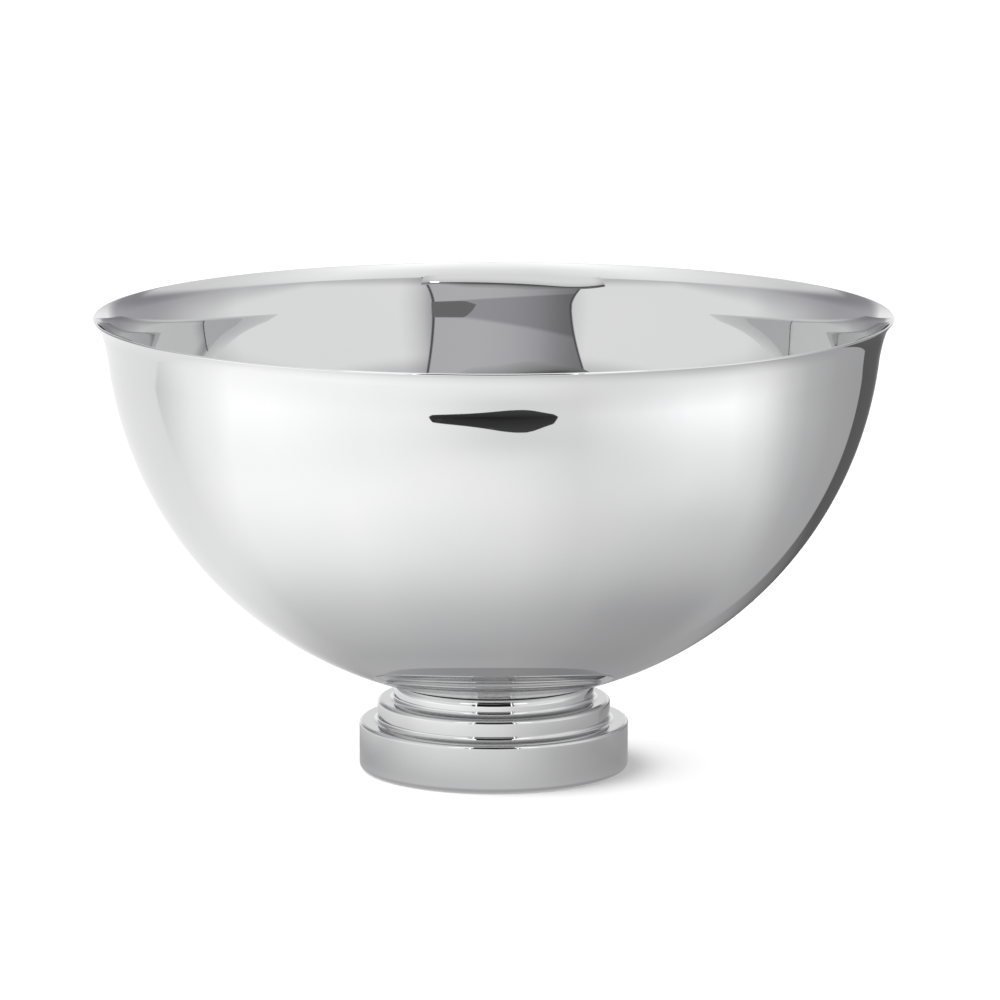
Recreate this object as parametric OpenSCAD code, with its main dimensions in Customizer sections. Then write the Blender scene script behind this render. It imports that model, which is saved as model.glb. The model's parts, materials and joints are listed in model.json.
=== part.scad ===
// Footed punch bowl: a spun steel bowl with a turned-out lip, clamped by one
// central stud onto a foot of three stacked, turned rings.
// Millimetres. The origin is the centre of the resting face, and +Z is up.

/* [Bowl] */
// Diameter over the lip
rim_d = 380; // [377:1:383]
// Height of the lip's top edge above the table
rim_h = 219.1; // [218.6:0.1:219.6]
// Thickness of the spun sheet
sheet_t = 1.2; // [1:0.1:1.5]
// Angle below the ball's widest level where the lip leaves the ball
lip_start = 6.9; // [6.5:0.1:7.3]
// Radius of the lip's first, gentle stretch
lip_ease_r = 76; // [66:2:90]
// Lean from upright where the gentle stretch ends
lip_mid = 17.5; // [15:0.5:20]
// Radius of the lip's outward curl
lip_curl_r = 16; // [13:0.5:18]
// Lean from upright at the lip's edge
lip_end = 44; // [40:1:48]

/* [Foot rings] */
// Diameter of the base ring
base_d = 129; // [127:1:134]
// Height of the base ring's flat above the table
base_top = 23.1; // [22:0.1:24]
// Diameter of the middle ring
mid_d = 111.6; // [110:0.2:114]
// Height of the middle ring's flat above the table
mid_top = 33.6; // [33:0.1:34.5]
// Diameter of the top ring
top_d = 96.2; // [94:0.2:98]
// Radius of the hollow cove at the root of each upper ring
cove_r = 2.2; // [1.2:0.1:2.6]
// Radius of the base ring's upper edge
base_edge_r = 1.6; // [0.8:0.1:2.4]
// Radius of the middle ring's upper edge
mid_edge_r = 2; // [0.8:0.1:2.4]
// Radius of the top ring's shoulder
shoulder_r = 6; // [4:0.5:7]
// Height above the table where that shoulder begins
shoulder_z = 38.2; // [37.6:0.1:38.6]
// Radius of the base ring's lower edge
foot_edge_r = 2; // [0.6:0.1:2.4]
// Height of the fine groove that marks the joint under each upper ring
seam_h = 0.55; // [0.2:0.05:0.7]
// Depth of that groove
seam_d = 0.8; // [0.4:0.1:1.2]

/* [Clamp] */
// Diameter of the central stud
stud_d = 8; // [6:0.5:8]
// Pitch of its thread
stud_pitch = 1.25; // [1:0.25:1.5]
// Diameter of the disc that is brazed under the bowl
disc_d = 44; // [34:1:56]
// Thickness of the clamp plate, which also weights the foot
plate_t = 5; // [3:0.5:5]
// Thickness of the gasket between the bowl and the top ring
gasket_t = 0.5; // [0.3:0.1:0.8]

/* [Underside] */
// Diameter of the base ring's bore
base_bore_d = 106; // [104:1:107]
// Thickness of the base cover
cover_t = 1.2; // [0.8:0.1:1.4]
// Number of screws that hold the base cover
screw_count = 3; // [3:1:6]
// Diameter of the circle on which they sit
screw_pcd = 78; // [60:1:88]
// Diameter of each screw
screw_d = 3; // [2.5:0.5:4]
// Width of the foot pad
pad_w = 5; // [4:0.5:5.5]
// How far the pad stands below the base ring
pad_proud = 0.4; // [0.3:0.1:0.6]

/* [Hidden] */
$fn = 96;
// Facets for the preview of the large ball, and of a hexagon
BALL_FN = 256;
HEX = 6;

// Overlap that lets tangent arcs cross cleanly instead of meeting at a hair's step
tangent_overlap = 0.003;
// Running gap between parts that locate in each other
fit_gap = 0.05;
// Hair gap left between faces that lie on each other
hair_gap = 0.02;
// Gap round a shaft or screw that passes through a hole
clear_gap = 0.15;
// How far a cutting shape reaches past what it cuts
cut = 1;
// How far two shapes of one piece reach into each other
lap = 0.5;
// Larger than any radius or height here
far = 400;

// Ball and lip. Each arc leans on the one before it, so their centres share a line
// through the point where they meet.
rim_r = rim_d / 2;
half_t = sheet_t / 2;
// The lip ends in a bead a hair thicker than the sheet
edge_bead_r = half_t + hair_gap / 2;
ball_r = (rim_r - lip_ease_r * (cos(lip_start) - cos(lip_mid))
          - lip_curl_r * (cos(lip_mid) - cos(lip_end))
          + half_t * cos(lip_end) - half_t) / cos(lip_start);
ball_z = rim_h + ball_r * sin(lip_start) - lip_ease_r * (sin(lip_mid) - sin(lip_start))
         - lip_curl_r * (sin(lip_end) - sin(lip_mid)) - half_t * sin(lip_end) - half_t;
// The outward normal of a wall that leans out by a degrees
function out(a) = [cos(a), -sin(a)];
lip_ease_c = [0, ball_z] + (ball_r + lip_ease_r) * out(lip_start);
lip_curl_c = lip_ease_c - (lip_ease_r - lip_curl_r) * out(lip_mid);
lip_edge_c = lip_curl_c - (lip_curl_r + half_t) * out(lip_end);

// Foot
base_r = base_d / 2;
mid_r = mid_d / 2;
top_r = top_d / 2;
base_bore_r = base_bore_d / 2;
mid_bore_r = 42;
top_bore_r = 37;
// Each ring sits on a ledge at the top of the cove below it, and a spigot centres it
base_ledge_z = base_top + cove_r;
mid_ledge_z = mid_top + cove_r;
base_spigot_r = 48;
spigot_h = 3;
web_t = 3;
web_z = base_top - web_t;
bore_edge_r = 0.6;
// The gasket stops short of the top ring's bore and of its shoulder
gasket_in_r = top_bore_r + 1;
gasket_out_r = top_r - 2.2;

// Clamp
disc_r = disc_d / 2;
disc_t = 2.6;
disc_z = ball_z - ball_r - disc_t;
stud_r = stud_d / 2;
thread_depth = 0.6 * stud_pitch;
disc_edge_r = 1;
plate_gap = 1;
plate_r = base_bore_r - plate_gap;
plate_z = web_z - plate_t;
plate_low_edge_r = 1;
plate_high_edge_r = 0.5;
plate_bore_r = stud_r + 2 * clear_gap;
// Washers and nut follow the usual proportions for the stud's size
washer_r = stud_d;
washer_t = 1.6;
washer_z = plate_z - washer_t;
spring_r = 0.92 * stud_d;
spring_t = 2;
spring_z = washer_z - spring_t;
nut_h = 0.8 * stud_d;
nut_flats = 1.625 * stud_d;
nut_chamfer = 0.7;
nut_face_inset = 0.2;
nut_z = spring_z - nut_h;
stud_past_nut = 1.2;
stud_end_z = nut_z - stud_past_nut;
stud_top_gap = 0.4;
stud_top_z = ball_z - ball_r - stud_top_gap;
thread_w = 0.9 * stud_pitch;

// Underside
cover_recess = 0.5;
cover_z = cover_recess + pad_proud;
cover_gap = 0.2;
cover_r = base_bore_r - cover_gap;
cover_edge_r = 0.4;
pillar_flats = 5.5;
pillar_tail_r = 1.5;
pillar_tail_h = 4;
pillar_bore_h = 7;
screw_r = screw_d / 2;
screw_l = 6.5;
screw_head_r = 1.9 * screw_r;
screw_sink = 0.1;
socket_flats = 0.6 * screw_d;
socket_depth = 1.2;
pad_t = 2;
pad_mid_r = (base_r + base_bore_r) / 2;
pad_groove_gap = 0.1;
pad_edge_r = 0.3;

// A disc on the ball's centre, in the plane that is spun
module ball_disc(r) {
    translate([0, ball_z]) circle(r = r, $fn = BALL_FN);
}

// The outer corner piece that rounds a corner to radius r when it is taken away.
// The corner is at [x, y], and [qx, qy] points from it into the material.
module corner_cut(x, y, r, qx, qy) {
    past = 0.2;
    difference() {
        translate([x - past * max(qx, 0) - r * max(-qx, 0), y - past * max(qy, 0) - r * max(-qy, 0)])
            square([r + past, r + past]);
        translate([x + qx * r, y + qy * r]) circle(r = r);
    }
}

// The filler that turns an inner corner at [x, y] into a cove of radius r, for
// material that lies to the left of x and below y. It reaches into that material.
module cove_fill(x, y, r) {
    difference() {
        translate([x - lap, y - lap]) square([r + lap, r + lap]);
        translate([x + r, y + r]) circle(r = r);
    }
}

// What is cut away from a ring of radius r for the groove above the ledge at height z
module seam(r, z) {
    translate([r - seam_d, z - cut]) square([seam_d + cut, seam_h + cut]);
}

// Everything above the line through c that runs out and down, a degrees below level
module above_line(c, a) {
    d = out(a);
    n = [sin(a), cos(a)];
    polygon([c - far * d, c + far * d, c + far * d + far * n, c - far * d + far * n]);
}

// The solid of the bowl's skin at depth t below its outside: the ball, then the two arcs
// of the lip, each of which curves away around a centre outside the bowl
module skin_region(t) {
    ball_disc(ball_r - t);
    difference() {
        above_line([0, ball_z], lip_start);
        translate(lip_ease_c) circle(r = lip_ease_r + t + tangent_overlap);
    }
    difference() {
        above_line(lip_ease_c, lip_mid);
        translate(lip_curl_c) circle(r = lip_curl_r + t + tangent_overlap);
    }
}

module bowl_shell() {
    color("silver") rotate_extrude() {
        difference() {
            intersection() {
                skin_region(0);
                // below the lip's end, which leans as the wall does there
                difference() {
                    square([far, far]);
                    above_line(lip_curl_c, lip_end);
                }
            }
            skin_region(sheet_t);
        }
        translate(lip_edge_c) circle(r = edge_bead_r);
    }
}

module mounting_disc() {
    color("darkgray") rotate_extrude() difference() {
        translate([stud_r + hair_gap, disc_z]) square([disc_r - stud_r - hair_gap, ball_z - disc_z]);
        ball_disc(ball_r + hair_gap);
        corner_cut(disc_r, disc_z, disc_edge_r, -1, 1);
    }
}

// The thread is drawn as rings of the thread's pitch and depth
module centre_stud() {
    thread_h = plate_z + plate_t - stud_end_z;
    turns = floor(thread_h / stud_pitch);
    color("gainsboro") rotate_extrude() difference() {
        translate([0, stud_end_z]) square([stud_r, stud_top_z - stud_end_z]);
        for (i = [0 : turns - 1]) {
            z = stud_end_z + i * stud_pitch;
            polygon([[stud_r + hair_gap, z], [stud_r + hair_gap, z + thread_w],
                     [stud_r - thread_depth, z + thread_w / 2]]);
        }
    }
}

module seat_gasket() {
    color("dimgray") rotate_extrude() intersection() {
        difference() {
            ball_disc(ball_r + gasket_t - hair_gap);
            ball_disc(ball_r + hair_gap);
        }
        translate([gasket_in_r, 0]) square([gasket_out_r - gasket_in_r, ball_z / 2]);
    }
}

module top_ring() {
    color("silver") rotate_extrude() difference() {
        union() {
            translate([top_bore_r, mid_ledge_z]) square([top_r - top_bore_r, shoulder_z - mid_ledge_z]);
            translate([top_r - shoulder_r, shoulder_z]) circle(r = shoulder_r);
            translate([top_bore_r, mid_ledge_z]) square([top_r - shoulder_r - top_bore_r, 2 * shoulder_r]);
            translate([top_bore_r, mid_ledge_z - spigot_h])
                square([mid_bore_r - fit_gap - top_bore_r, spigot_h + lap]);
        }
        ball_disc(ball_r + gasket_t);
        seam(top_r, mid_ledge_z);
        // the shoulder's circle stays above the ledge
        translate([mid_bore_r - fit_gap, mid_ledge_z - far]) square([far, far]);
    }
}

module middle_ring() {
    color("silver") rotate_extrude() {
        difference() {
            translate([mid_bore_r, base_ledge_z]) square([mid_r - mid_bore_r, mid_top - base_ledge_z]);
            corner_cut(mid_r, mid_top, mid_edge_r, -1, -1);
            seam(mid_r, base_ledge_z);
        }
        translate([mid_bore_r, mid_top - lap]) square([top_r - mid_bore_r, cove_r + lap]);
        cove_fill(top_r, mid_top, cove_r);
        translate([mid_bore_r, base_ledge_z - spigot_h])
            square([base_spigot_r - fit_gap - mid_bore_r, spigot_h + lap]);
    }
}

module base_ring() {
    foot_z = pad_proud;
    color("silver") rotate_extrude() {
        difference() {
            translate([base_bore_r, foot_z]) square([base_r - base_bore_r, base_top - foot_z]);
            corner_cut(base_r, base_top, base_edge_r, -1, -1);
            corner_cut(base_r, foot_z, foot_edge_r, -1, 1);
            corner_cut(base_bore_r, foot_z, bore_edge_r, 1, 1);
            translate([pad_mid_r - pad_w / 2 - pad_groove_gap, foot_z - cut])
                square([pad_w + 2 * pad_groove_gap, pad_t - pad_proud + cut]);
        }
        translate([base_spigot_r, web_z]) square([base_bore_r + lap - base_spigot_r, web_t]);
        translate([base_spigot_r, web_z]) square([mid_r - base_spigot_r, web_t + cove_r]);
        cove_fill(mid_r, base_top, cove_r);
    }
}

// What is cut away for a hole of radius r through a plate of thickness t that starts at height z
module hole(r, z, t) {
    translate([0, 0, z - cut]) cylinder(r = r, h = t + 2 * cut);
}

module clamp_plate() {
    color("slategray") difference() {
        rotate_extrude() difference() {
            translate([plate_bore_r, plate_z]) square([plate_r - plate_bore_r, plate_t]);
            corner_cut(plate_r, plate_z, plate_low_edge_r, -1, 1);
            corner_cut(plate_r, plate_z + plate_t, plate_high_edge_r, -1, -1);
        }
        for_each_screw() hole(pillar_tail_r + fit_gap, plate_z, plate_t);
    }
}

module flat_washer() {
    color("gainsboro") difference() {
        translate([0, 0, washer_z]) cylinder(r = washer_r, h = washer_t);
        hole(stud_r + clear_gap, washer_z, washer_t);
    }
}

// A split ring, drawn pressed flat
module spring_washer() {
    split_w = 1;
    split_heading = 40;
    color("dimgray") difference() {
        translate([0, 0, spring_z]) cylinder(r = spring_r, h = spring_t);
        hole(stud_r + clear_gap, spring_z, spring_t);
        rotate([0, 0, split_heading]) translate([stud_r - cut, -split_w / 2, spring_z - cut])
            cube([stud_d, split_w, spring_t + 2 * cut]);
    }
}

module clamp_nut() {
    corner_r = nut_flats / sqrt(3);
    face_r = nut_flats / 2 - nut_face_inset;
    color("gainsboro") difference() {
        translate([0, 0, nut_z]) intersection() {
            cylinder(r = corner_r, h = nut_h, $fn = HEX);
            // chamfered corners
            rotate_extrude() polygon([[0, 0], [face_r, 0], [corner_r, nut_chamfer],
                                      [corner_r + cut, nut_chamfer],
                                      [corner_r + cut, nut_h - nut_chamfer],
                                      [corner_r, nut_h - nut_chamfer], [face_r, nut_h], [0, nut_h]]);
        }
        hole(stud_r + hair_gap, nut_z, nut_h);
    }
}

module for_each_screw() {
    for (i = [0 : screw_count - 1]) rotate([0, 0, 90 + i * 360 / screw_count])
        translate([screw_pcd / 2, 0, 0]) children();
}

// Hexagonal pillars between the clamp plate and the cover
module cover_pillars() {
    bottom = cover_z + cover_t;
    color("gainsboro") for_each_screw() difference() {
        union() {
            translate([0, 0, bottom]) cylinder(r = pillar_flats / sqrt(3), h = plate_z - bottom, $fn = HEX);
            translate([0, 0, plate_z - lap]) cylinder(r = pillar_tail_r, h = pillar_tail_h + lap);
        }
        translate([0, 0, bottom - cut]) cylinder(r = screw_r + hair_gap, h = pillar_bore_h + cut);
    }
}

module base_cover() {
    color("gainsboro") difference() {
        rotate_extrude() difference() {
            translate([0, cover_z]) square([cover_r, cover_t]);
            corner_cut(cover_r, cover_z, cover_edge_r, -1, 1);
        }
        for_each_screw() {
            hole(screw_r + clear_gap, cover_z, cover_t);
            translate([0, 0, cover_z - hair_gap])
                cylinder(r1 = screw_head_r + clear_gap, r2 = screw_r + clear_gap, h = cover_t);
        }
    }
}

// Countersunk screws with a hexagonal socket
module cover_screws() {
    head_h = cover_t - screw_sink;
    color("gainsboro") for_each_screw() difference() {
        union() {
            translate([0, 0, cover_z]) cylinder(r1 = screw_head_r, r2 = screw_r, h = head_h);
            translate([0, 0, cover_z]) cylinder(r = screw_r, h = screw_l);
        }
        translate([0, 0, cover_z - cut])
            cylinder(r = socket_flats / sqrt(3), h = socket_depth + cut, $fn = HEX);
    }
}

module foot_pad() {
    inner_r = pad_mid_r - pad_w / 2;
    outer_r = pad_mid_r + pad_w / 2;
    color("black") rotate_extrude() difference() {
        translate([inner_r, 0]) square([pad_w, pad_t]);
        corner_cut(inner_r, 0, pad_edge_r, 1, 1);
        corner_cut(outer_r, 0, pad_edge_r, -1, 1);
    }
}

bowl_shell();
mounting_disc();
centre_stud();
seat_gasket();
top_ring();
middle_ring();
base_ring();
clamp_plate();
flat_washer();
spring_washer();
clamp_nut();
cover_pillars();
base_cover();
cover_screws();
foot_pad();
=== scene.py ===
"""Looks for the footed punch bowl: high-resolution turned meshes, metals and rubbers, and a small studio.

Lengths are metres in the CAD frame: the origin is the centre of the resting face and +Z is up.
"""
import json
import math

import bpy
import numpy as np
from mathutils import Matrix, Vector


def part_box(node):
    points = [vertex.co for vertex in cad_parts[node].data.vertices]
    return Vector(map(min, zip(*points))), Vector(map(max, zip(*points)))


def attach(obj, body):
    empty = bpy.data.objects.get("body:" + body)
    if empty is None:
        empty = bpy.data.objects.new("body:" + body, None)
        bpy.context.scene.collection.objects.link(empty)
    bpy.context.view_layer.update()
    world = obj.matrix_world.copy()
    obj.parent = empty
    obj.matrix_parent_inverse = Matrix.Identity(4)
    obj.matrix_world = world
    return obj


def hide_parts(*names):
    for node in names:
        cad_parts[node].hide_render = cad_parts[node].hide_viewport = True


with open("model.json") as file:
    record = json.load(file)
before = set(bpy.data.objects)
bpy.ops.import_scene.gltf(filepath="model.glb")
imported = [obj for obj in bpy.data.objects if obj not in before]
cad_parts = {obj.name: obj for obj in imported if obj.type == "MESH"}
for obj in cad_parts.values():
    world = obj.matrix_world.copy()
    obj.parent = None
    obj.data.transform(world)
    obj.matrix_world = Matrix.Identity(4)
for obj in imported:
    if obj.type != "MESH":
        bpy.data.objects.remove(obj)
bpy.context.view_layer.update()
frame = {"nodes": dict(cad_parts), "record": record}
NODES = frame["nodes"]
MM = 0.001


# ---------------------------------------------------------------- turned profiles
# A profile is a closed loop of (radius, height) points, walked with the metal on its left.
SAME_POINT, ON_AXIS = 1e-7, 1e-6
PLAIN_PITCH, WALL_PITCH, FINE_PITCH = 4 * MM, 1 * MM, 0.8 * MM
SHARP_ANGLE = 30


def cos(angle):
    return math.cos(math.radians(angle))


def sin(angle):
    return math.sin(math.radians(angle))


def turn(angle):
    """The unit vector at an angle in degrees, anticlockwise from straight outwards."""
    return np.array([cos(angle), sin(angle)])


def arc(centre, radius, start, end, step=3.0):
    """Points of an arc, about one for each step of degrees."""
    count = max(2, math.ceil(abs(end - start) / step) + 1)
    return [np.array(centre) + radius * turn(a) for a in np.linspace(start, end, count)]


def line(*corners, pitch=PLAIN_PITCH):
    """Points along straight stretches from corner to corner, so that long faces are not single strips."""
    points = []
    for start, end in zip(corners, corners[1:]):
        start, end = np.array(start, float), np.array(end, float)
        count = max(2, math.ceil(float(np.linalg.norm(end - start)) / pitch) + 1)
        points += [start + (end - start) * t for t in np.linspace(0, 1, count)]
    return points


def joined(*stretches):
    """One loop from several stretches, without repeated points."""
    points = []
    for stretch in stretches:
        for p in stretch:
            if not points or np.linalg.norm(p - points[-1]) > SAME_POINT:
                points.append(np.array(p, float))
    if np.linalg.norm(points[0] - points[-1]) < SAME_POINT:
        points.pop()
    return points


def lathe(name, profile, segments=256):
    """A solid of revolution about Z. A profile that touches the axis gets a single vertex there."""
    verts, rings = [], []
    angles = np.linspace(0, 2 * math.pi, segments, endpoint=False)
    for radius, height in profile:
        if radius < ON_AXIS:
            rings.append([len(verts)] * segments)
            verts.append((0.0, 0.0, height))
        else:
            rings.append(list(range(len(verts), len(verts) + segments)))
            verts += [(radius * math.cos(a), radius * math.sin(a), height) for a in angles]
    # a profile that starts and ends on the axis is closed already
    on_axis = profile[0][0] < ON_AXIS and profile[-1][0] < ON_AXIS
    closing = [] if on_axis else [(rings[-1], rings[0])]
    faces = []
    for low, high in list(zip(rings, rings[1:])) + closing:
        for i in range(segments):
            j = (i + 1) % segments
            corners = [low[i], low[j], high[j], high[i]]
            unique = [c for k, c in enumerate(corners) if c not in corners[:k]]
            if len(unique) > 2:
                faces.append(unique)
    mesh = bpy.data.meshes.new(name)
    mesh.from_pydata(verts, [], faces)
    mesh.validate()
    mesh.shade_smooth()
    mesh.set_sharp_from_angle(angle=math.radians(SHARP_ANGLE))
    piece = bpy.data.objects.new(name, mesh)
    bpy.context.scene.collection.objects.link(piece)
    return piece


# ---------------------------------------------------------------- sizes, from the frame
# The upper corner of a node's box gives its outer radius and its height
MEASURED = ("bowl_shell", "top_ring", "middle_ring", "base_ring", "foot_pad", "seat_gasket")
BOWL_HIGH, TOP_HIGH, MID_HIGH, BASE_HIGH, PAD_HIGH, GASKET_HIGH = (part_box(node)[1] for node in MEASURED)

# Bowl: a ball, a gentle outward sweep and a tighter curl, each tangent to the one before
SHEET = 1.2 * MM
LIP_START, LIP_MID, LIP_END = 6.9, 17.5, 44.0
EASE_R, CURL_R = 76 * MM, 16 * MM
RIM_R, RIM_Z = BOWL_HIGH.x, BOWL_HIGH.z
BALL_R = (RIM_R - EASE_R * (cos(LIP_START) - cos(LIP_MID)) - CURL_R * (cos(LIP_MID) - cos(LIP_END))
          + SHEET / 2 * cos(LIP_END) - SHEET / 2) / cos(LIP_START)
BALL_Z = (RIM_Z + BALL_R * sin(LIP_START) - EASE_R * (sin(LIP_MID) - sin(LIP_START))
          - CURL_R * (sin(LIP_END) - sin(LIP_MID)) - SHEET / 2 * sin(LIP_END) - SHEET / 2)
BALL_C = np.array([0.0, BALL_Z])
EASE_C = BALL_C + (BALL_R + EASE_R) * turn(-LIP_START)
CURL_C = EASE_C - (EASE_R - CURL_R) * turn(-LIP_MID)
EDGE_C = CURL_C - (CURL_R + SHEET / 2) * turn(-LIP_END)

# Foot rings
COVE_R = 2.2 * MM
BASE_EDGE_R, MID_EDGE_R, SHOULDER_R, FOOT_EDGE_R = 1.6 * MM, 2 * MM, 6 * MM, 2 * MM
BASE_R, MID_R, TOP_R = BASE_HIGH.x, MID_HIGH.x, TOP_HIGH.x
FOOT_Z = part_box("base_ring")[0].z
BASE_LEDGE_Z, MID_LEDGE_Z = BASE_HIGH.z, MID_HIGH.z
BASE_TOP_Z, MID_TOP_Z = BASE_LEDGE_Z - COVE_R, MID_LEDGE_Z - COVE_R
SHOULDER_Z = 38.2 * MM
BASE_BORE_R, BASE_SPIGOT_R, MID_BORE_R, TOP_BORE_R = 53 * MM, 48 * MM, 42 * MM, 37 * MM
WEB_Z = BASE_TOP_Z - 3 * MM
SPIGOT_H, FIT_GAP = 3 * MM, 0.05 * MM
BORE_EDGE = 0.6 * MM
SEAM_H, SEAM_D = 0.55 * MM, 0.8 * MM
GASKET_T, GASKET_INSET, GASKET_GAP = 0.5 * MM, 1 * MM, 0.02 * MM
PAD_W, PAD_GAP, PAD_SOFT_EDGE = 5 * MM, 0.1 * MM, 0.3 * MM


def bowl_profile():
    ball_step, ease_step, curl_step, edge_step = 0.8, 0.25, 0.9, 12
    outside = arc(BALL_C, BALL_R, -90, -LIP_START, ball_step)
    ease_out = arc(EASE_C, EASE_R, 180 - LIP_START, 180 - LIP_MID, ease_step)
    curl_out = arc(CURL_C, CURL_R, 180 - LIP_MID, 180 - LIP_END, curl_step)
    edge = arc(EDGE_C, SHEET / 2, -LIP_END, 180 - LIP_END, edge_step)
    curl_in = arc(CURL_C, CURL_R + SHEET, 180 - LIP_END, 180 - LIP_MID, curl_step)
    ease_in = arc(EASE_C, EASE_R + SHEET, 180 - LIP_MID, 180 - LIP_START, ease_step)
    inside = arc(BALL_C, BALL_R - SHEET, -LIP_START, -90, ball_step)
    loop = joined(outside, ease_out, curl_out, edge, curl_in, ease_in, inside)
    # both ends lie on the axis exactly
    loop[0][0] = loop[-1][0] = 0.0
    return loop


def seat_angle(centre, radius, seat_r):
    """The angle on a circle about centre where it meets the ball of radius seat_r, on its upper side."""
    to_ball = BALL_C - np.array(centre)
    distance = float(np.linalg.norm(to_ball))
    along = (distance ** 2 + radius ** 2 - seat_r ** 2) / (2 * distance)
    spread = math.degrees(math.acos(max(-1.0, min(1.0, along / radius))))
    return math.degrees(math.atan2(to_ball[1], to_ball[0])) - spread


def ball_angle(radius, seat_r):
    """The angle on the ball of radius seat_r at a given distance from the axis."""
    return -math.degrees(math.acos(radius / seat_r))


def seam(radius, height):
    """Corners of the fine groove at the root of a ring's wall."""
    return [[radius - SEAM_D, height], [radius - SEAM_D, height + SEAM_H], [radius, height + SEAM_H]]


def top_ring_profile():
    seat_r = BALL_R + GASKET_T
    centre = [TOP_R - SHOULDER_R, SHOULDER_Z]
    shoulder = arc(centre, SHOULDER_R, 0, seat_angle(centre, SHOULDER_R, seat_r), 2)
    seat = arc(BALL_C, seat_r, ball_angle(shoulder[-1][0], seat_r), ball_angle(TOP_BORE_R, seat_r), 0.5)
    low, spigot_r = MID_LEDGE_Z - SPIGOT_H, MID_BORE_R - FIT_GAP
    return joined(
        line([TOP_BORE_R, low], [spigot_r, low], [spigot_r, MID_LEDGE_Z], *seam(TOP_R, MID_LEDGE_Z)),
        line([TOP_R, MID_LEDGE_Z + SEAM_H], [TOP_R, SHOULDER_Z], pitch=FINE_PITCH), shoulder, seat,
        line(seat[-1], [TOP_BORE_R, low]))


def middle_ring_profile():
    low, spigot_r = BASE_LEDGE_Z - SPIGOT_H, BASE_SPIGOT_R - FIT_GAP
    edge_r, edge_z = MID_R - MID_EDGE_R, MID_TOP_Z - MID_EDGE_R
    return joined(
        line([MID_BORE_R, low], [spigot_r, low], [spigot_r, BASE_LEDGE_Z], *seam(MID_R, BASE_LEDGE_Z)),
        line([MID_R, BASE_LEDGE_Z + SEAM_H], [MID_R, edge_z], pitch=FINE_PITCH),
        arc([edge_r, edge_z], MID_EDGE_R, 0, 90),
        line([edge_r, MID_TOP_Z], [TOP_R + COVE_R, MID_TOP_Z], pitch=FINE_PITCH),
        arc([TOP_R + COVE_R, MID_LEDGE_Z], COVE_R, 270, 180),
        line([TOP_R, MID_LEDGE_Z], [MID_BORE_R, MID_LEDGE_Z], [MID_BORE_R, low]))


def base_ring_profile():
    pad_mid, half_groove = (BASE_R + BASE_BORE_R) / 2, PAD_W / 2 + PAD_GAP
    groove_in, groove_out, groove_z = pad_mid - half_groove, pad_mid + half_groove, PAD_HIGH.z
    edge_r, edge_z = BASE_R - BASE_EDGE_R, BASE_TOP_Z - BASE_EDGE_R
    return joined(
        arc([BASE_BORE_R + BORE_EDGE, FOOT_Z + BORE_EDGE], BORE_EDGE, 180, 270, 10),
        line([BASE_BORE_R + BORE_EDGE, FOOT_Z], [groove_in, FOOT_Z], [groove_in, groove_z],
             [groove_out, groove_z], [groove_out, FOOT_Z], [BASE_R - FOOT_EDGE_R, FOOT_Z]),
        arc([BASE_R - FOOT_EDGE_R, FOOT_Z + FOOT_EDGE_R], FOOT_EDGE_R, 270, 360),
        line([BASE_R, FOOT_Z + FOOT_EDGE_R], [BASE_R, edge_z], pitch=WALL_PITCH),
        arc([edge_r, edge_z], BASE_EDGE_R, 0, 90),
        line([edge_r, BASE_TOP_Z], [MID_R + COVE_R, BASE_TOP_Z], pitch=FINE_PITCH),
        arc([MID_R + COVE_R, BASE_LEDGE_Z], COVE_R, 270, 180),
        line([MID_R, BASE_LEDGE_Z], [BASE_SPIGOT_R, BASE_LEDGE_Z], [BASE_SPIGOT_R, WEB_Z],
             [BASE_BORE_R, WEB_Z], [BASE_BORE_R, FOOT_Z + BORE_EDGE]))


def gasket_profile():
    inner_r, outer_r = BALL_R + GASKET_GAP, BALL_R + GASKET_T - GASKET_GAP
    near, away = TOP_BORE_R + GASKET_INSET, GASKET_HIGH.x
    return joined(
        arc(BALL_C, outer_r, ball_angle(near, outer_r), ball_angle(away, outer_r), 0.4),
        arc(BALL_C, inner_r, ball_angle(away, inner_r), ball_angle(near, inner_r), 0.4))


def pad_profile():
    inner, outer, top, soft = PAD_HIGH.x - PAD_W, PAD_HIGH.x, PAD_HIGH.z, PAD_SOFT_EDGE
    return joined(
        arc([inner + soft, soft], soft, 180, 270, 15),
        arc([outer - soft, soft], soft, 270, 360, 15),
        line([outer, soft], [outer, top], [inner, top], [inner, soft]))


# ---------------------------------------------------------------- materials

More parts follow.
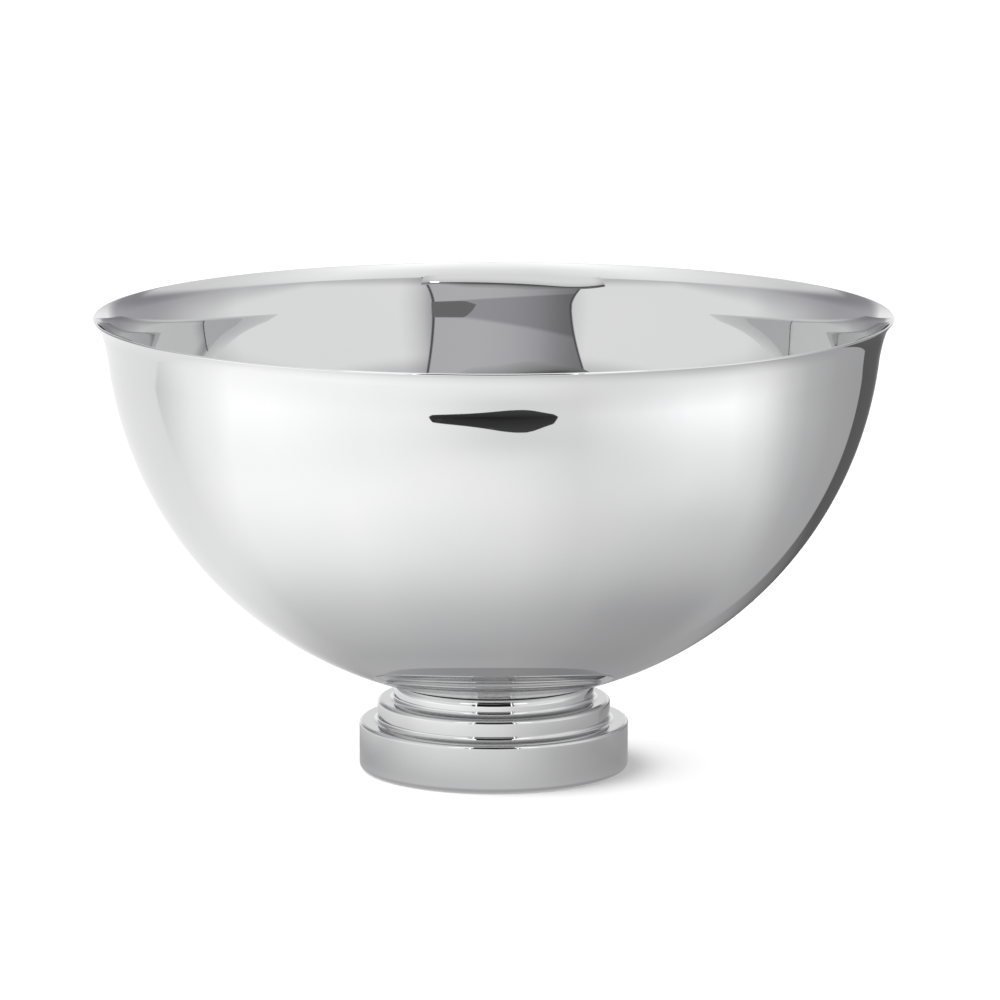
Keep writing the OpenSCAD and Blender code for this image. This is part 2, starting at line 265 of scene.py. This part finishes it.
class Graph:
    """The nodes of a material or of the world, made and linked in short calls."""

    def __init__(self, owner):
        self.owner = owner
        owner.use_nodes = True
        self.tree = owner.node_tree
        self.tree.nodes.clear()

    def add(self, kind, inputs=None, **settings):
        node = self.tree.nodes.new(kind)
        for key, value in settings.items():
            setattr(node, key, value)
        for key, value in (inputs or {}).items():
            self.put(value, node.inputs[key])
        return node

    def put(self, value, socket):
        if isinstance(value, bpy.types.NodeSocket):
            self.tree.links.new(value, socket)
        else:
            socket.default_value = value

    def math(self, operation, *values):
        return self.add("ShaderNodeMath", dict(enumerate(values)), operation=operation).outputs[0]

    def remap(self, value, low, high, to_low, to_high, smooth=False):
        settings = {"interpolation_type": "SMOOTHSTEP"} if smooth else {}
        inputs = {"Value": value, "From Min": low, "From Max": high, "To Min": to_low, "To Max": to_high}
        return self.add("ShaderNodeMapRange", inputs, **settings).outputs["Result"]

    def step(self, value, start, end):
        """0 where value is at start, 1 where it is at end, eased between them."""
        return self.remap(value, start, end, 0.0, 1.0, smooth=True)

    def mix(self, factor, a, b):
        """A plain number between a and b."""
        mix = self.add("ShaderNodeMix", data_type="FLOAT")
        for socket, value in zip(mix.inputs[0:1] + mix.inputs[2:4], (factor, a, b)):
            self.put(value, socket)
        return mix.outputs[0]

    def ramp(self, value, pairs):
        """A level that follows (place, level) pairs along value, rounded off at their corners."""
        low, high = pairs[0][0], pairs[-1][0]
        node = self.add("ShaderNodeValToRGB", {"Fac": self.remap(value, low, high, 0.0, 1.0)})
        node.color_ramp.interpolation = "B_SPLINE"
        stops = node.color_ramp.elements
        while len(stops) < len(pairs):
            stops.new(0.5)
        for stop, (place, level) in zip(stops, pairs):
            stop.position = (place - low) / (high - low)
            stop.color = (level, level, level, 1.0)
        return node.outputs["Color"]

    def scaled(self, vector, factor):
        return self.add("ShaderNodeVectorMath", {0: vector, 3: factor}, operation="SCALE").outputs[0]

    def noise(self, vector, scale, detail=2.0, w=None):
        inputs = {"Vector": vector, "Scale": scale, "Detail": detail}
        if w is not None:
            inputs["W"] = w
        return self.add("ShaderNodeTexNoise", inputs,
                        noise_dimensions="3D" if w is None else "4D").outputs["Fac"]

    def blend(self, factor, a, b):
        mix = self.add("ShaderNodeMix", data_type="RGBA")
        for socket, value in zip((mix.inputs[0], mix.inputs[6], mix.inputs[7]), (factor, a, b)):
            self.put(value, socket)
        return mix.outputs[2]

    def place(self):
        return self.add("ShaderNodeTexCoord").outputs["Object"]

    def round_axis(self, place):
        """(direction round the axis, distance from it, height), for marks that a lathe leaves."""
        xyz = self.add("ShaderNodeSeparateXYZ", {0: place}).outputs
        flat = self.add("ShaderNodeCombineXYZ", {0: xyz["X"], 1: xyz["Y"]}).outputs[0]
        distance = self.add("ShaderNodeVectorMath", {0: flat}, operation="LENGTH").outputs["Value"]
        heading = self.add("ShaderNodeVectorMath", {0: flat}, operation="NORMALIZE").outputs[0]
        return heading, distance, xyz["Z"]

    def lathe_rings(self, heading, along, drift, density, detail):
        """Rings that a lathe leaves: noise that is quick along the profile and drifts slowly round it."""
        return self.noise(self.scaled(heading, drift), 1.0, detail, self.math("MULTIPLY", along, density))

    def bump(self, height, strength, depth):
        inputs = {"Height": height, "Strength": strength, "Distance": depth}
        return self.add("ShaderNodeBump", inputs).outputs[0]

    def surface(self, **inputs):
        shader = self.add("ShaderNodeBsdfPrincipled", inputs).outputs[0]
        self.add("ShaderNodeOutputMaterial", {"Surface": shader})
        return self.owner


def grey(level, warmth=0.0):
    return (level * (1 + warmth), level, level * (1 - warmth), 1.0)


def polished_steel(name, level=0.69, scuffed_below=0.0, satin=None):
    """Buffed stainless steel: faint rings from the spinning lathe, hairlines, and a trace of handling.

    It is scuffed near the table, below the height scuffed_below. Satin is the two heights between
    which the finish goes from unpolished to polished.
    """
    hair_stretch, hair_rough, satin_rough = (90, 90, 2600), 0.05, 0.17
    ring_bump, satin_bump, bump_depth = 0.02, 0.6, 0.01 * MM
    g = Graph(bpy.data.materials.new(name))
    place = g.place()
    heading, distance, height = g.round_axis(place)
    along = g.math("ADD", distance, g.math("MULTIPLY", height, 0.73))
    rings = g.lathe_rings(heading, along, 0.35, 900.0, 3.0)
    clouds = g.noise(place, 22.0, 3.0)
    stretched = g.add("ShaderNodeVectorMath", {0: place, 1: hair_stretch}, operation="MULTIPLY").outputs[0]
    hairs = g.step(g.noise(stretched, 1.0, 4.0), 0.66, 0.74)
    rough = g.math("ADD", g.remap(rings, 0.3, 0.7, 0.010, 0.022), g.remap(clouds, 0.35, 0.7, 0.0, 0.010))
    rough = g.math("ADD", rough, g.math("MULTIPLY", hairs, hair_rough))
    if scuffed_below:
        near_table = g.step(height, scuffed_below, 0.0)
        scuffs = g.remap(g.noise(place, 700.0, 5.0), 0.52, 0.68, 0.0, 0.22, smooth=True)
        rough = g.math("ADD", rough, g.math("MULTIPLY", near_table, scuffs))
    strength = ring_bump
    if satin:
        unpolished = g.step(height, satin[1], satin[0])
        rough = g.math("ADD", rough, g.math("MULTIPLY", unpolished, satin_rough))
        strength = g.mix(unpolished, ring_bump, satin_bump)
    tone = g.blend(g.remap(clouds, 0.3, 0.7, 0.0, 1.0), grey(level * 0.985, -0.006), grey(level * 1.01))
    bump = g.bump(rings, strength, bump_depth)
    return g.surface(**{"Base Color": tone, "Metallic": 1.0, "Roughness": rough, "Normal": bump})


def brushed_steel(name, level=0.58, roughness=0.28):
    """Turned but unpolished steel, with rings that catch the light."""
    ring_bump, bump_depth = 0.25, 0.03 * MM
    g = Graph(bpy.data.materials.new(name))
    place = g.place()
    heading, distance, height = g.round_axis(place)
    rings = g.lathe_rings(heading, g.math("ADD", distance, height), 0.8, 3500.0, 4.0)
    clouds = g.noise(place, 60.0, 4.0)
    rough = g.math("ADD", g.remap(rings, 0.25, 0.75, roughness - 0.07, roughness + 0.07),
                   g.remap(clouds, 0.3, 0.7, -0.03, 0.04))
    tone = g.blend(rings, grey(level * 0.9), grey(level * 1.08, 0.01))
    bump = g.bump(rings, ring_bump, bump_depth)
    return g.surface(**{"Base Color": tone, "Metallic": 1.0, "Roughness": rough, "Normal": bump})


def rubber(name, level):
    """Moulded black rubber: a fine pebbled skin with dust in its hollows."""
    grain_bump, bump_depth = 0.5, 0.05 * MM
    g = Graph(bpy.data.materials.new(name))
    place = g.place()
    grain = g.noise(place, 2600.0, 4.0)
    patches = g.noise(place, 90.0, 3.0)
    tone = g.blend(g.remap(patches, 0.35, 0.75, 0.0, 1.0), grey(level), grey(level * 1.9, 0.03))
    rough = g.remap(g.math("ADD", grain, patches), 0.7, 1.3, 0.55, 0.82)
    bump = g.bump(grain, grain_bump, bump_depth)
    return g.surface(**{"Base Color": tone, "Roughness": rough, "Normal": bump})


MATERIALS = {
    "bowl_steel": polished_steel("bowl_steel", satin=(46 * MM, 56 * MM)),
    "ring_steel": polished_steel("ring_steel", scuffed_below=4 * MM),
    "inner_steel": brushed_steel("inner_steel"),
    "fastener_steel": brushed_steel("fastener_steel", 0.62, 0.24),
    "spring_steel": brushed_steel("spring_steel", 0.30, 0.34),
    "cover_steel": brushed_steel("cover_steel", 0.60, 0.30),
    "gasket_rubber": rubber("gasket_rubber", 0.012),
    "pad_rubber": rubber("pad_rubber", 0.018),
}
SLOT_OF = {part["node"]: part["material_slot"] for part in frame["record"]["subparts"]}


# ---------------------------------------------------------------- the object

def turned(node, profile, segments=256):
    """A finely turned mesh that stands for a CAD node and takes its finish."""
    piece = lathe("turned_" + node, profile, segments)
    piece.data.materials.append(MATERIALS[SLOT_OF[node]])
    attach(piece, "root")
    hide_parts(node)
    return piece


turned("bowl_shell", bowl_profile(), 320)
turned("seat_gasket", gasket_profile())
foot = [turned("top_ring", top_ring_profile()), turned("middle_ring", middle_ring_profile()),
        turned("base_ring", base_ring_profile()), turned("foot_pad", pad_profile(), 192)]

for node, cad in NODES.items():
    if not cad.hide_render:
        cad.data.materials.clear()
        cad.data.materials.append(MATERIALS[SLOT_OF[node]])


# ---------------------------------------------------------------- camera
CAMERA_DISTANCE, CAMERA_HEIGHT, CAMERA_PITCH = 2.830, 0.618, 9.793
CAMERA_SIDE = 0.00304
SENSOR, FOCAL = 36.0, 216.4

camera_data = bpy.data.cameras.new("camera")
camera_data.sensor_width, camera_data.lens = SENSOR, FOCAL
camera = bpy.data.objects.new("camera", camera_data)
camera.location = (CAMERA_SIDE, -CAMERA_DISTANCE, CAMERA_HEIGHT)
camera.rotation_euler = (math.radians(90 - CAMERA_PITCH), 0, 0)
bpy.context.scene.collection.objects.link(camera)
bpy.context.scene.camera = camera


# ---------------------------------------------------------------- studio
# Headings are degrees round the bowl: 0 is towards the camera and 90 towards +X. Heights of what
# is far away are degrees too.
# The steel is a mirror, so the studio is built as the steel sees it: softboxes to both sides
# of a dark gap where the camera stands, a bright ceiling, grey walls and a white backdrop.
# What is near the bowl, such as the table, is a set of glowing sheets that only reflections see.
bpy.context.scene.view_settings.view_transform = "Standard"
WHITE = 1.3
BLUE_SHADE = (0.993, 0.985, 1.045)
BLACK = 0.012

# (degrees away from the camera, level) of the softboxes and the walls behind them
SIDE_LEVEL = [(0, 0.45), (19, 0.45), (22, 0.72), (26, 0.90), (31, 1.03), (42, 1.18), (55, 1.25), (70, 1.20),
              (90, 0.96), (110, 0.66), (125, 0.48), (152, 0.44), (158, 0.80), (163, 1.25), (180, 1.25)]
# Towards their upper edge they dim by FADED, between a start and an end that sink from the front
# boxes to the side ones: degrees from the camera, then start and end at both of these
FADE_ASIDE, FADE_START, FADE_END, FADED = (60, 95), (19.5, 4), (25.5, 19), 0.70

# The ceiling's level, a sum of slopes: what it follows, from where to where, and the levels there
CEILING_SLOPES = [("height", 28, 52, 0.94, 1.07), ("height", 52, 80, 0.0, 0.35),
                  ("aside", 15, 50, 0.0, 0.13), ("aside", 60, 115, 0.0, -0.25)]
# It starts sharply in front and gradually behind: (start, end) in front, beside and behind
CEILING_FRONT, CEILING_SIDE, CEILING_BACK = (26.5, 29), (20, 32), (32.5, 51.5)
CEILING_ASIDE, CEILING_BEHIND = (60, 130), (138, 158)

# (heading, level) across the dark gap
GAP_LEVEL = [(-34, 0.22), (-26, 0.26), (-20, 0.34), (-14, 0.46), (-6, 0.55), (6, 0.60), (20, 0.57)]
# Its sides open outwards above GAP_FOOT: the heading there, then how it leans and curves with height
GAP_LEFT, GAP_RIGHT, GAP_FOOT, GAP_TOP = (-24.5, -0.12, -0.014), (19.3, 0.05, 0.008), 7, 28
GAP_SIDE_LINE = 0.10
# Below a slanted line the gap is dimmer: the line's lean, its height and how dim
GAP_LINE_LEAN, GAP_LINE_Z, GAP_DIM = -0.15, 11, 0.68
TWICE_SEEN_GAP = 0.80


def tinted(g, level, amount=1.0):
    """The colour of a level: the dim parts of the studio are slightly blue."""
    tint = g.blend(g.remap(level, 0.85, 0.45, 0.0, amount), (1.0, 1.0, 1.0, 1.0), (*BLUE_SHADE, 1.0))
    return g.scaled(tint, level)


def studio_world():
    """What the steel sees above the table. The camera itself sees plain white."""
    world = bpy.data.worlds.new("studio")
    bpy.context.scene.world = world
    g = Graph(world)
    direction = g.add("ShaderNodeTexCoord").outputs["Generated"]
    x, y, z = g.add("ShaderNodeSeparateXYZ", {0: direction}).outputs
    heading = g.math("DEGREES", g.math("ARCTAN2", x, g.math("MULTIPLY", y, -1.0)))
    height = g.math("DEGREES", g.math("ARCSINE", z))
    aside = g.math("ABSOLUTE", heading)

    fade = g.step(height, g.remap(aside, *FADE_ASIDE, *FADE_START), g.remap(aside, *FADE_ASIDE, *FADE_END))
    level = g.math("MULTIPLY", g.ramp(aside, SIDE_LEVEL), g.mix(fade, 1.0, FADED))

    ceiling = 0.0
    for along, *slope in CEILING_SLOPES:
        ceiling = g.math("ADD", ceiling, g.remap({"height": height, "aside": aside}[along], *slope))
    behind = g.remap(aside, *CEILING_BEHIND, 0.0, 1.0)
    start, end = (g.mix(behind, g.remap(aside, *CEILING_ASIDE, front, side), back)
                  for front, side, back in zip(CEILING_FRONT, CEILING_SIDE, CEILING_BACK))
    level = g.mix(g.step(height, start, end), level, ceiling)

    above = g.math("MAXIMUM", g.math("SUBTRACT", height, GAP_FOOT), 0.0)
    above_squared = g.math("MULTIPLY", above, above)
    left, right = (g.math("MULTIPLY_ADD", above_squared, bend, g.math("MULTIPLY_ADD", above, lean, side))
                   for side, lean, bend in (GAP_LEFT, GAP_RIGHT))
    from_left = g.math("SUBTRACT", heading, left)
    from_right = g.math("SUBTRACT", right, heading)
    in_gap = g.math("MULTIPLY", g.step(from_left, 0.0, 0.5), g.step(from_right, 0.0, 0.5))
    in_gap = g.math("MULTIPLY", in_gap, g.step(height, GAP_TOP + 1.0, GAP_TOP))
    over_line = g.math("SUBTRACT", height, g.math("MULTIPLY_ADD", heading, GAP_LINE_LEAN, GAP_LINE_Z))
    dusk = g.math("MULTIPLY", g.ramp(heading, GAP_LEVEL), g.mix(g.step(over_line, -0.8, 0.8), GAP_DIM, 1.0))
    # in a reflection of a reflection only the thin dark lines inside its sides are left
    # (the world counts one more than a sheet does: 2 in a first reflection, 3 in a second)
    path = g.add("ShaderNodeLightPath").outputs
    dusk = g.mix(g.math("GREATER_THAN", path["Ray Depth"], 2.5), dusk, TWICE_SEEN_GAP)
    inside = g.math("MULTIPLY", g.step(from_left, 0.7, 1.2), g.step(from_right, 0.8, 1.3))
    level = g.mix(in_gap, level, g.mix(inside, GAP_SIDE_LINE, dusk))

    level = g.mix(path["Is Camera Ray"], level, WHITE)
    background = g.add("ShaderNodeBackground", {"Color": tinted(g, level)}).outputs[0]
    g.add("ShaderNodeOutputWorld", {"Surface": background})


# The table as the steel sees it: heading, and the level close to the foot, under the rim and far away
TABLE_LEVELS = [
    (-180, 0.35, 0.95, 0.98), (-143, 0.35, 0.95, 0.98), (-113, 0.47, 1.00, 0.76), (-104, 0.49, 1.03, 0.93),
    (-92, 0.51, 1.06, 1.18), (-82, 0.52, 1.10, 1.30), (-75, 0.52, 1.15, 1.45), (-60, 0.53, 1.18, 1.44),
    (-38, 0.53, 1.18, 1.32), (-8, 0.51, 1.05, 1.19), (7, 0.50, 0.99, 1.11), (22, 0.47, 0.86, 1.02),
    (37, 0.43, 0.81, 1.18), (52, 0.41, 0.76, 1.40), (67, 0.40, 0.71, 1.44), (78, 0.40, 0.68, 1.20),
    (88, 0.40, 0.62, 0.84), (97, 0.40, 0.55, 0.64), (112, 0.39, 0.48, 0.50), (130, 0.37, 0.44, 0.44),
    (165, 0.36, 0.45, 0.45), (180, 0.35, 0.95, 0.98)]
NEAR_REACH, RIM_REACH, FAR_REACH = 0.080, 0.25, 0.75
# Behind and to the left the table is bright: its edge leans by this much, past this x
BEHIND_LEFT_LEVEL, BEHIND_LEFT_LEAN, BEHIND_LEFT_X = 0.99, 0.57, 0.262
# (distance, width) of the two broad swells: brighter past the rim, darker where the bowl's shade ends
PAST_RIM, SHADE_END = (0.32, 0.28), (0.145, 0.30)
# The bowl's shadow behind and to the right has an edge that leans by this much, from this x
SHADOW_LEAN, SHADOW_X = 1.15, 0.105
# Towards the camera the table ends at TABLE_EDGE, with a gentle bay to the right of the middle
TABLE_EDGE, BAY_X, BAY_DEPTH, END_DEPTH = -0.597, 0.083, 0.046, 0.06
TABLE_REACH, TABLE_INNER = 2.4, 0.02


def ease(value, start, end):
    t = min(1.0, max(0.0, (value - start) / (end - start)))
    return t * t * (3 - 2 * t)


def swell(distance, centre, width):
    """1 at a distance of centre, and less both nearer and farther."""
    return math.exp(-(math.log(distance / centre) / width) ** 2)


def table_level(x, y):
    """Brightness of the table at a point: the bowl's soft shade, the softboxes' pools and two edges."""
    distance, heading = math.hypot(x, y), math.degrees(math.atan2(x, -y))
    headings, *levels = zip(*TABLE_LEVELS)
    near, under_rim, far = (float(np.interp(heading, headings, level)) for level in levels)
    if x < 0:
        behind = ease(y - BEHIND_LEFT_LEAN * max(-x - BEHIND_LEFT_X, 0.0), -0.004, 0.004)
        far += (BEHIND_LEFT_LEVEL - far) * behind
    spread = math.log(distance)
    level = near + (under_rim - near) * ease(spread, math.log(NEAR_REACH), math.log(RIM_REACH))
    level += (far - under_rim) * ease(spread, math.log(RIM_REACH), math.log(FAR_REACH))
    swells = (0.10 + 0.08 * ease(heading, 20, 50)) * swell(distance, *PAST_RIM)
    swells -= (0.12 + 0.07 * ease(heading, 25, 45)) * swell(distance, *SHADE_END)
    level *= 1 + swells * ease(abs(heading), 100, 75)
    # a dimmer patch towards the camera
    level *= 1 - 0.14 * math.exp(-((heading - 4) / 18) ** 2) * ease(distance, 0.40, 0.52)
    shadow_edge = SHADOW_LEAN * max(x - SHADOW_X, -0.06)
    in_shadow = ease(y - shadow_edge, -0.006, 0.006) * ease(distance, 0.12, 0.26) * ease(x, -0.06, 0.07)
    shadow = 0.12 + 0.11 * ease(distance, 0.40, 0.22) + 0.30 * ease(abs(heading), 150, 178)
    return level + (shadow - level) * in_shadow


def table_front(x):
    """The y at which the table ends towards the camera."""
    bay_w = 0.105 if x < BAY_X else 0.065
    ends = ease(x, -0.165, -0.195) + ease(x, 0.160, 0.198)
    return TABLE_EDGE + BAY_DEPTH * math.exp(-((x - BAY_X) / bay_w) ** 2) - END_DEPTH * ends


def table_sheen(uy, distance):
    """How much brighter the table is at a glance, towards the camera."""
    return max(0.0, -uy) * (0.5 * ease(distance, 0.19, 0.06) + 0.13 * swell(distance, *SHADE_END))


def glowing_sheet(name, verts, faces, levels, sheen=None, unseen=None):
    """A sheet that only reflections see, as bright as the level at each of its points.

    Where it has a sheen, it is brighter seen along its surface, as a smooth table is. It is
    clear where unseen(g, depth, length) gives 1: depth counts the reflections on the way to it,
    and length is how far away the last one was.
    """
    mesh = bpy.data.meshes.new(name)
    mesh.from_pydata(verts, [], faces)
    mesh.attributes.new("level", "FLOAT", "POINT").data.foreach_set("value", levels)
    g = Graph(bpy.data.materials.new(name + "_glow"))
    level = g.add("ShaderNodeAttribute", attribute_name="level").outputs["Fac"]
    if sheen:
        mesh.attributes.new("sheen", "FLOAT", "POINT").data.foreach_set("value", sheen)
        sheen_here = g.add("ShaderNodeAttribute", attribute_name="sheen").outputs["Fac"]
        along_surface = g.step(g.add("ShaderNodeLayerWeight").outputs["Facing"], 0.64, 0.82)
        level = g.math("MULTIPLY_ADD", level, g.math("MULTIPLY", sheen_here, along_surface), level)
    glow = g.add("ShaderNodeEmission", {"Color": tinted(g, level, 0.25)}).outputs[0]
    if unseen:
        path = g.add("ShaderNodeLightPath").outputs
        clear = g.add("ShaderNodeBsdfTransparent").outputs[0]
        hidden = unseen(g, path["Ray Depth"], path["Ray Length"])
        glow = g.add("ShaderNodeMixShader", {0: hidden, 1: glow, 2: clear}).outputs[0]
    g.add("ShaderNodeOutputMaterial", {"Surface": glow})
    mesh.materials.append(g.owner)
    sheet = bpy.data.objects.new(name, mesh)
    bpy.context.scene.collection.objects.link(sheet)
    sheet.visible_camera = sheet.visible_diffuse = sheet.visible_shadow = False


def table_reflection():
    """The table, as rings round the bowl that end at its front edge."""
    spokes, rings = 720, 60
    verts, levels, sheen = [], [], []
    for k in range(rings + 1):
        for i in range(spokes):
            angle = 2 * math.pi * i / spokes
            ux, uy = math.cos(angle), math.sin(angle)
            reach = TABLE_REACH if uy > -0.2 else min(TABLE_REACH, table_front(0.6 * ux / -uy) / uy)
            distance = TABLE_INNER * (reach / TABLE_INNER) ** (k / rings)
            verts.append((ux * distance, uy * distance, -0.0001))
            levels.append(table_level(ux * distance, uy * distance))
            sheen.append(table_sheen(uy, distance))
    faces = []
    for k in range(rings):
        for i in range(spokes):
            j = (i + 1) % spokes
            faces.append((k * spokes + i, (k + 1) * spokes + i, (k + 1) * spokes + j, k * spokes + j))
    glowing_sheet("table_reflection", verts, faces, levels, sheen)


def standing_sheet(name, columns, unseen):
    """A glowing sheet of upright columns, each a list of (place, level) from its foot to its top."""
    points = [point for column in columns for point in column]
    rows = len(columns[0])
    faces = [(i * rows + k, (i + 1) * rows + k, (i + 1) * rows + k + 1, i * rows + k + 1)
             for i in range(len(columns) - 1) for k in range(rows - 1)]
    glowing_sheet(name, [place for place, level in points], faces, [level for place, level in points],
                  unseen=unseen)


def twice_from_bowl(g, depth, length):
    """Only the foot sees what is in front twice reflected, and nothing sees it more often."""
    from_bowl = g.math("MULTIPLY", g.math("GREATER_THAN", depth, 1.5), g.math("GREATER_THAN", length, 0.66))
    return g.math("MAXIMUM", g.math("GREATER_THAN", depth, 2.5), from_bowl)


def twice_or_far(g, depth, length):
    """Only the foot, which is nearer than the bowl's wall, sees it at all."""
    return g.math("MAXIMUM", twice_from_bowl(g, depth, length), g.math("GREATER_THAN", length, 0.80))


def twice(g, depth, length):
    """Nothing sees it twice reflected."""
    return g.math("GREATER_THAN", depth, 1.5)


def front_card():
    """A black card that stands just past the table's front edge, below the lens, and hangs down from it.

    Two upright strips of it catch the softboxes as thin bright lines.
    """
    away, half, steps = -0.625, 0.40, 160
    left, right, strip, right_strip = -0.225, 0.255, 0.02, 0.215
    low, rise, rise_from, rise_to = 0.270, 0.060, 0.035, 0.125
    dim, bright = 0.19, 2.4
    hanging = ((-0.50, 0.10), (-0.06, 0.09), (-0.012, 0.05), (0.0, 0.04))
    columns = []
    for i in range(steps + 1):
        x = -half + 2 * half * i / steps
        stands = left < x < right
        top = low + rise * ease(x, rise_from, rise_to) if stands else 0.0
        shine = bright if stands and (x < left + strip or right_strip < x < right_strip + strip) else BLACK
        standing = ((0.05, shine), (0.70, shine), (0.88, dim), (1.0, dim))
        columns.append([((x, away, z), level) for z, level in hanging]
                       + [((x, away, top * part), level) for part, level in standing])
    standing_sheet("front_card", columns, twice_from_bowl)


def ceiling_front():
    """The ceiling's near edge above the dark gap, with dusk below it and one lamp's glint."""
    away, left, right, steps = -0.17, -0.19, 0.112, 130
    edge_z, edge_lean, edge_bend, bend_from = 0.3585, 0.125, 4.6, 0.09
    dark_left, dark_right, dark, ceiling = -0.186, 0.104, 0.10, 0.76
    glint_left, glint_right, glint_high, glint = 0.083, 0.098, 0.0035, 6.0
    # (x, level) of the dusk
    dusk_x, dusk_level = (-0.18, -0.138, -0.0685, -0.009, 0.10), (0.22, 0.25, 0.42, 0.54, 0.58)
    columns = []
    for i in range(steps + 1):
        x = left + (right - left) * i / steps
        low = edge_z + edge_lean * x + edge_bend * max(0.0, -x - bend_from) ** 2
        dusk = float(np.interp(x, dusk_x, dusk_level))
        deep = 0.033 - 0.018 * (ease(x, -0.04, -0.13) + ease(x, 0.03, 0.09))
        at_end = 1 - 0.2 * (ease(x, -0.165, -0.19) + ease(x, 0.085, 0.112))
        edge = dark if dark_left < x < dark_right else ceiling
        lamp = glint if glint_left < x < glint_right else ceiling
        # (height over the edge, level)
        rows = ((-deep, dusk), (-0.5 * deep, 0.7 * dusk), (-0.2 * deep, min(edge, 0.35 * dusk)),
                (-0.0004, edge), (0.0, lamp), (glint_high, lamp), (glint_high + 0.001, 0.78),
                (0.016, 0.90), (0.030, 0.97), (0.085, 0.97))
        columns.append([((x, away, low + above), level * at_end) for above, level in rows])
    standing_sheet("ceiling_front", columns, twice)


def foot_boards():
    """What only the foot is near enough to see: a black lens hood between two bright boards."""
    away, low, high, bright = -0.63, 0.20, 0.62, 1.6
    edges = ((-0.50, bright), (-0.202, bright), (-0.200, BLACK),
             (0.215, BLACK), (0.217, bright), (0.50, bright))
    columns = [[((x, away, z), level) for z in (low, high)] for x, level in edges]
    standing_sheet("foot_boards", columns, twice_or_far)


def floor():
    """The plain pale floor that the camera sees, with the foot's soft shadow."""
    half, z, paper, glow = 4.0, -0.0002, 0.13, 0.43
    mesh = bpy.data.meshes.new("floor")
    mesh.from_pydata([(-half, -half, z), (half, -half, z), (half, half, z), (-half, half, z)],
                     [], [(0, 1, 2, 3)])
    g = Graph(bpy.data.materials.new("floor_white"))
    lit = g.add("ShaderNodeBsdfDiffuse", {"Color": grey(paper)}).outputs[0]
    glowing = g.add("ShaderNodeEmission", {"Color": grey(glow)}).outputs[0]
    both = g.add("ShaderNodeAddShader", {0: lit, 1: glowing}).outputs[0]
    g.add("ShaderNodeOutputMaterial", {"Surface": both})
    mesh.materials.append(g.owner)
    plane = bpy.data.objects.new("floor", mesh)
    bpy.context.scene.collection.objects.link(plane)
    plane.visible_glossy = False
    return plane


def shadow_light(receiver, blockers):
    """A broad, even light from the left that only draws the foot's soft shadow on the floor."""
    strength, width, elevation, heading = 20.0, 64, 52, -84
    data = bpy.data.lights.new("shadow_light", "SUN")
    data.energy, data.angle = strength, math.radians(width)
    light = bpy.data.objects.new("shadow_light", data)
    light.rotation_euler = (math.radians(90 - elevation), 0, math.radians(heading))
    bpy.context.scene.collection.objects.link(light)
    for name, members in (("receiver_collection", [receiver]), ("blocker_collection", blockers)):
        group = bpy.data.collections.new("light_" + name)
        for member in members:
            group.objects.link(member)
        setattr(light.light_linking, name, group)


studio_world()
table_reflection()
front_card()
ceiling_front()
foot_boards()
shadow_light(floor(), foot)
